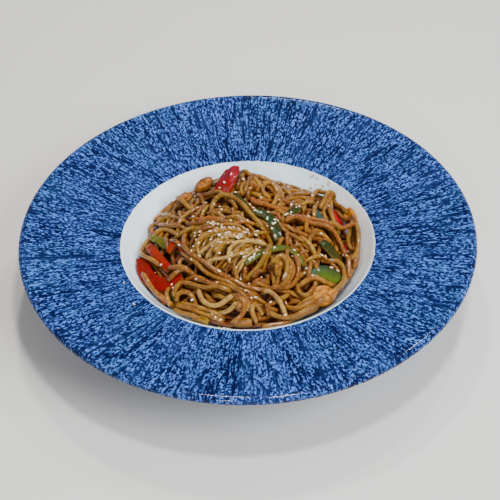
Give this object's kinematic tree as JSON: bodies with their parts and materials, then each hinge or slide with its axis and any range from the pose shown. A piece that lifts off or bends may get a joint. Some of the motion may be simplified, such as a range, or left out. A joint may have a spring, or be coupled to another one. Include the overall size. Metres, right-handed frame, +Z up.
{
  "type": "plate of yakisoba",
  "caption": "Fried wheat noodles with pepper strips, chicken and sesame, heaped in the deep well of a wide-rimmed glazed bowl.",
  "frame": {"origin": "on the table under the middle of the bowl", "axes": "+Z up, the bowl's turning axis; -Y towards the diner, +X to the diner's right"},
  "size_m": [0.28, 0.28, 0.0519],
  "materials": {
    "bowl": "gloss",
    "noodles": "oily",
    "red_pepper": "oily",
    "green_pepper": "oily",
    "chicken": "oily",
    "carrot": "oily"
  },
  "bodies": {
    "root": {"bowl": "bowl", "noodles": "noodles", "red_pepper_crest": "red_pepper", "red_pepper_left": "red_pepper", "red_pepper_left_upper": "red_pepper", "red_pepper_curl": "red_pepper", "red_pepper_foot": "red_pepper", "red_pepper_right": "red_pepper", "red_pepper_right_low": "red_pepper", "green_pepper_crest": "green_pepper", "green_pepper_middle": "green_pepper", "green_pepper_rear": "green_pepper", "green_pepper_arch": "green_pepper", "green_pepper_front": "green_pepper", "green_pepper_side": "green_pepper", "green_pepper_left": "green_pepper", "green_pepper_chip": "green_pepper", "green_pepper_right": "green_pepper", "carrot_shred": "carrot", "carrot_strip_front": "carrot", "carrot_strip_mid": "carrot", "chicken_right_front": "chicken", "chicken_middle": "chicken", "chicken_back": "chicken", "chicken_left_back": "chicken", "chicken_right_back": "chicken", "chicken_front": "chicken"}
  },
  "joints": []
}
